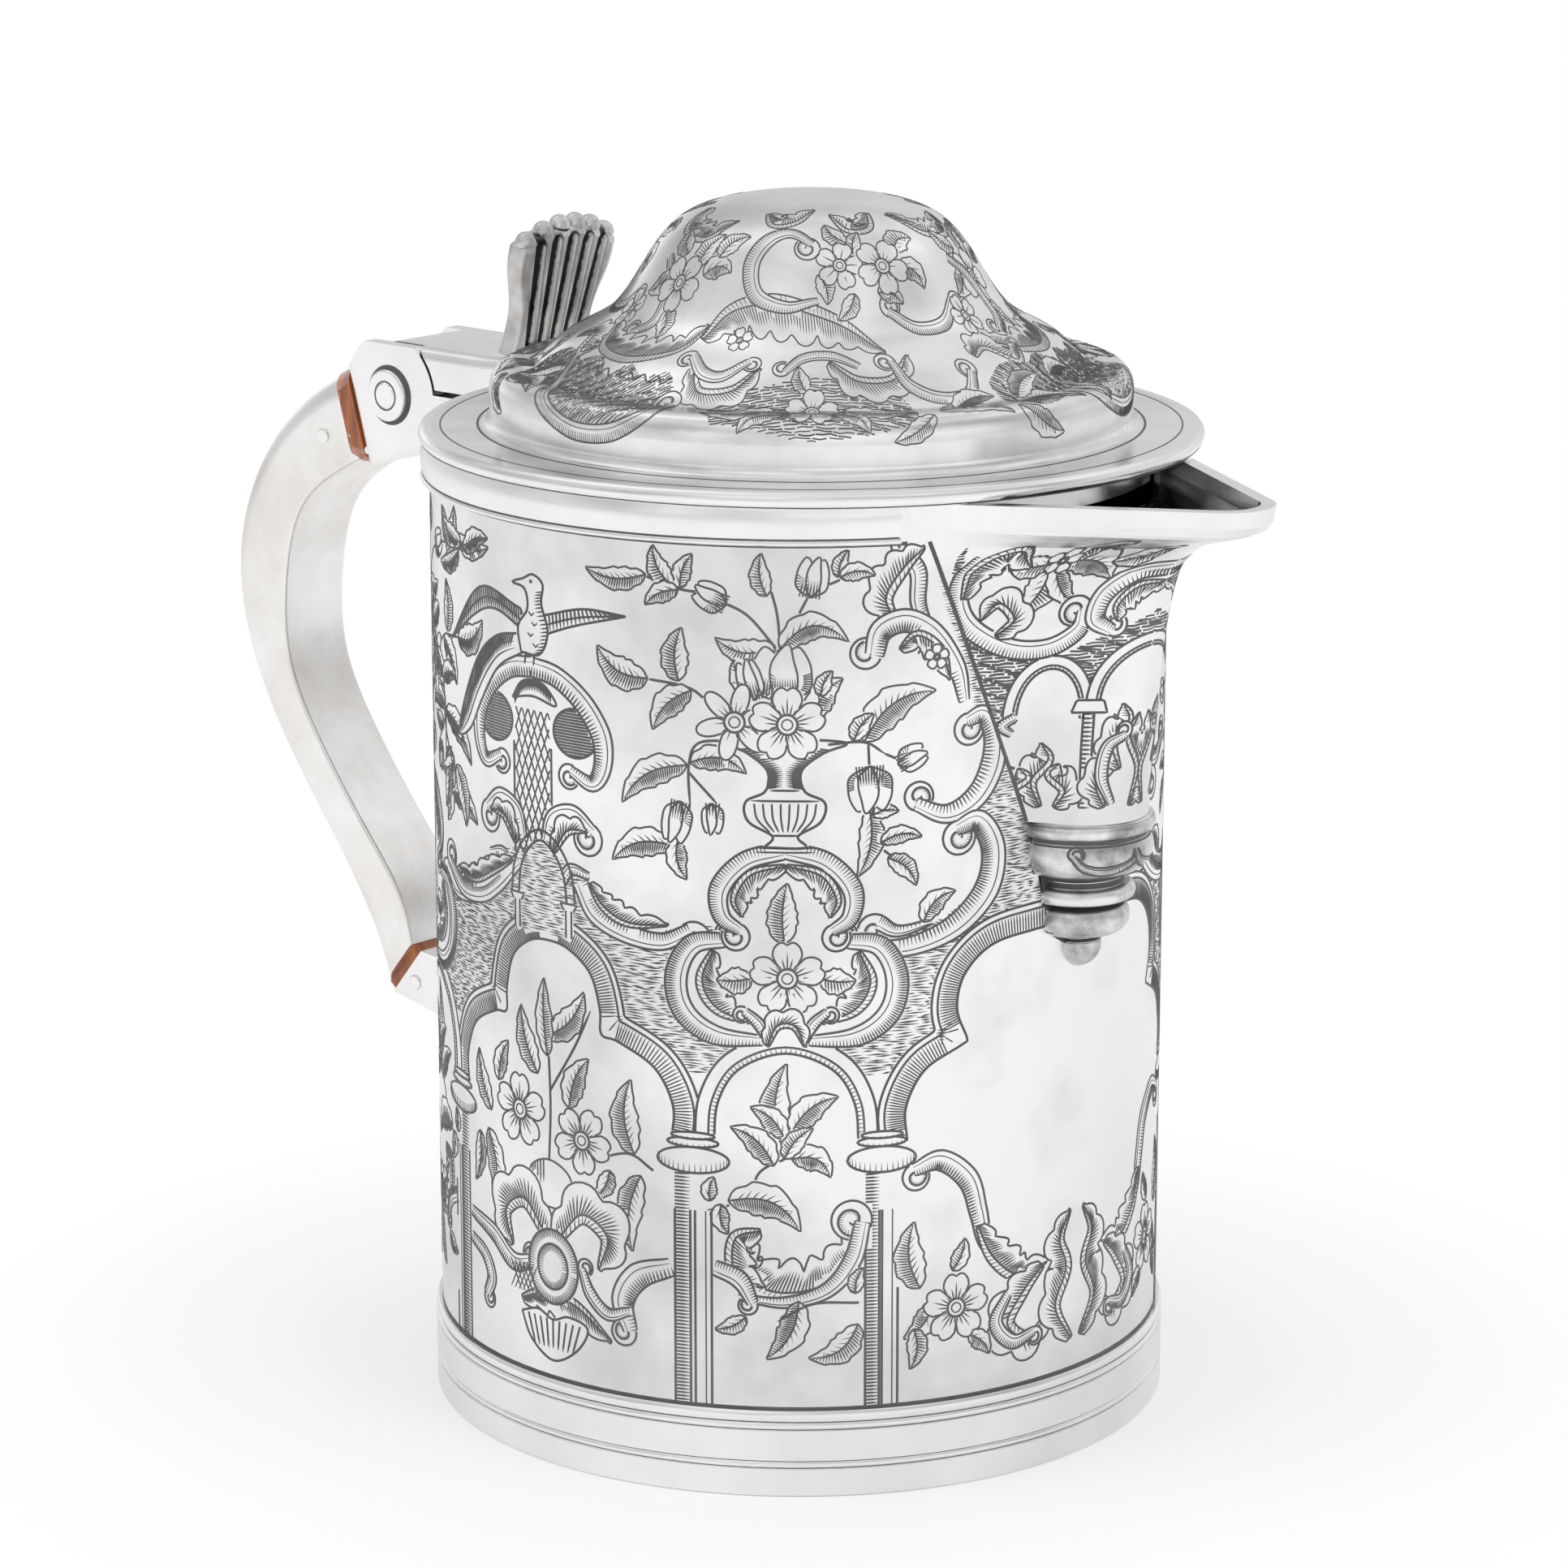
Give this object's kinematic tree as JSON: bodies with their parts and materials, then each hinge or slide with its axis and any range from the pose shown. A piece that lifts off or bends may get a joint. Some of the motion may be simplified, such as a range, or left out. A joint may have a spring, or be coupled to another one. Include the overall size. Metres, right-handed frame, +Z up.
{
  "type": "lidded tankard jug",
  "caption": "Straight-sided metal tankard with a domed hinged lid, fluted thumbpiece, insulated scroll handle and a beaked pouring spout with a pendant drop.",
  "frame": {"origin": "on the barrel's axis, in the plane that the foot stands on", "axes": "+Z up along the barrel, +X towards the spout, -X towards the handle and hinge"},
  "size_m": [0.2011, 0.1138, 0.1785],
  "materials": {
    "engraved_silver": "polished silver with engraved ornament, dark in the cuts",
    "plain_silver": "polished silver, finely scratched",
    "handle_silver": "polished silver, warm and pitted on the inner face",
    "cast_silver": "cast silver with dark flutes",
    "insulator": "polished orange-brown insulating material"
  },
  "bodies": {
    "vessel": {"barrel": "engraved_silver", "base_plate": "plain_silver", "foot_band": "plain_silver", "lip_band": "plain_silver", "spout_shell": "engraved_silver", "spout_rim_band": "plain_silver", "spout_drop": "engraved_silver", "hinge_socket": "plain_silver", "hinge_pin": "plain_silver", "hinge_pin_bosses": "plain_silver", "socket_rivet": "plain_silver", "upper_insulator": "insulator", "upper_rivet": "plain_silver", "handle_grip": "handle_silver", "lower_insulator": "insulator", "lower_rivet": "plain_silver", "lower_socket": "plain_silver"},
    "lid": {"lid_cover": "engraved_silver", "lid_edge_band": "plain_silver", "lid_bezel": "plain_silver", "hinge_arm": "plain_silver", "thumbpiece": "cast_silver"}
  },
  "joints": [
    {"name": "lid_hinge", "type": "hinge", "parent": "vessel", "child": "lid", "pos_m": [-0.0753, 0, 0.1414], "axis": [0, -1, 0], "range_deg": [0, 100]}
  ]
}
